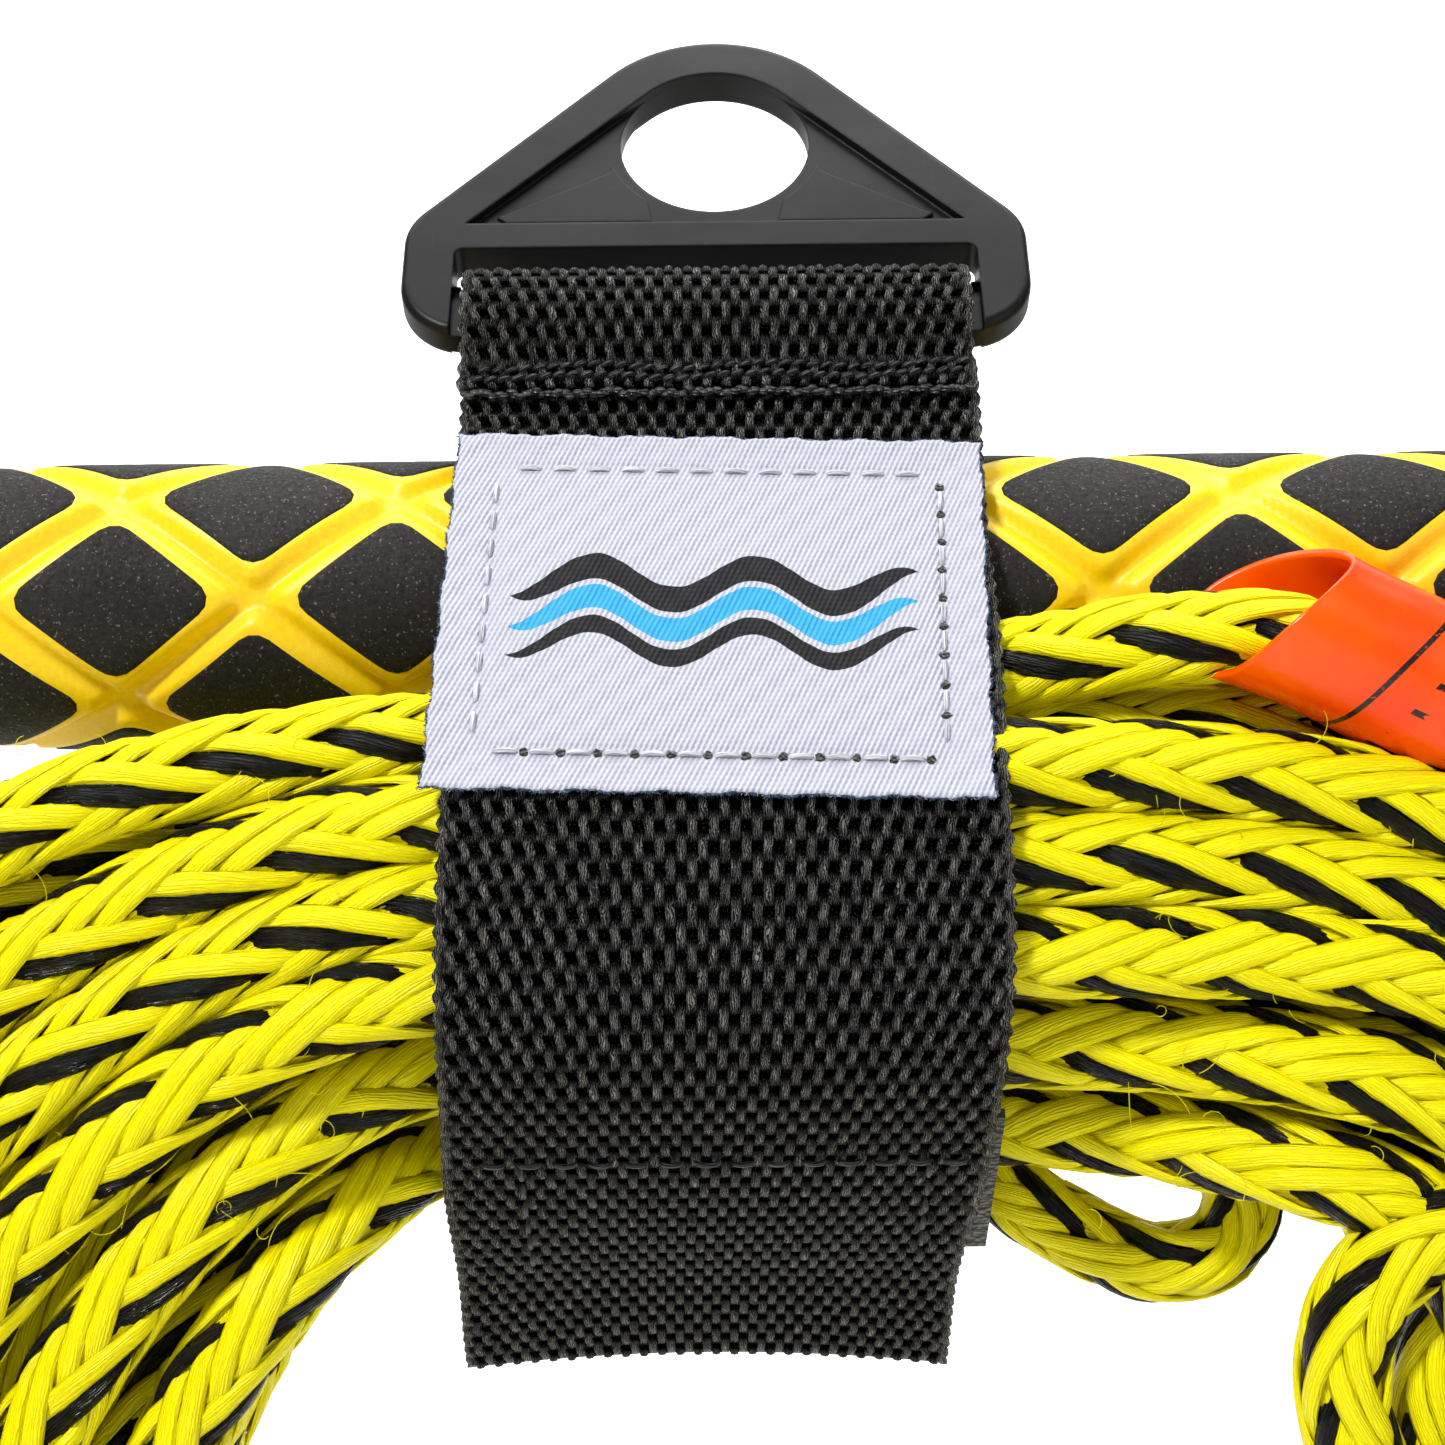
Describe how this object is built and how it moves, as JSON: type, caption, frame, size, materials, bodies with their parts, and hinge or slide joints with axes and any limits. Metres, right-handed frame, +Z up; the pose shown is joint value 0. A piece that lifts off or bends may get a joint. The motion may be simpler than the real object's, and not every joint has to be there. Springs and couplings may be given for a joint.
{
  "type": "tow rope handle",
  "caption": "Foam-gripped tube handle with rope bridle and a coiled braided tow rope, held together by a webbing carry strap with a hanger.",
  "frame": {"origin": "centre of the hanger's hanging hole", "axes": "+X along the handle, +Z up, the labelled front face towards -Y"},
  "size_m": [0.4192, 0.0562, 0.3588],
  "materials": {
    "tube_alloy": "satin drawn tube",
    "grip_yellow": "closed-cell EVA foam, smooth skin",
    "grip_black": "closed-cell EVA foam, fine grain",
    "cap_plastic": "moulded rubber, satin",
    "rope_yellow": "braided polyethylene with black tracers",
    "sleeve_orange": "glossy soft vinyl tube",
    "webbing_black": "plain-woven polypropylene webbing",
    "hook_tape": "hook tape",
    "loop_tape": "loop tape",
    "label_cloth": "woven twill label",
    "thread_white": "sewing thread",
    "thread_black": "sewing thread",
    "hanger_plastic": "moulded acetal, satin with light wear"
  },
  "bodies": {
    "bundle": {"tow_rope": "rope_yellow", "bridle_rope": "rope_yellow", "back_strap": "webbing_black", "front_strap_sewn_end": "webbing_black", "loop_patch": "loop_tape", "loop_patch_stitching": "thread_black", "hem_stitching": "thread_black"},
    "handle": {"handle_tube": "tube_alloy", "grip_base_layer": "grip_yellow", "grip_diamond_pads": "grip_black", "left_end_cap": "cap_plastic", "right_end_cap": "cap_plastic"},
    "hanger": {"hanger": "hanger_plastic"},
    "flap": {"front_strap": "webbing_black", "hook_patch": "hook_tape", "hook_patch_stitching": "thread_black", "label": "label_cloth", "label_stitching": "thread_white"},
    "sleeve": {"rope_sleeve": "sleeve_orange"}
  },
  "joints": [
    {"name": "grip_spin", "type": "hinge", "parent": "bundle", "child": "handle", "pos_m": [0, -0.0133, -0.0486], "axis": [1, 0, 0], "continuous": true},
    {"name": "hanger_pivot", "type": "hinge", "parent": "bundle", "child": "hanger", "pos_m": [0, -0.01364, -0.02023], "axis": [1, 0, 0], "range_deg": [-75, 75]},
    {"name": "flap_peel", "type": "hinge", "parent": "bundle", "child": "flap", "pos_m": [0, -0.01968, -0.02918], "axis": [-1, 0, 0], "range_deg": [0, 95]},
    {"name": "sleeve_slide", "type": "slide", "parent": "bundle", "child": "sleeve", "axis": [0.9063, 0, -0.4226], "range_m": [-0.003, 0.015]}
  ]
}
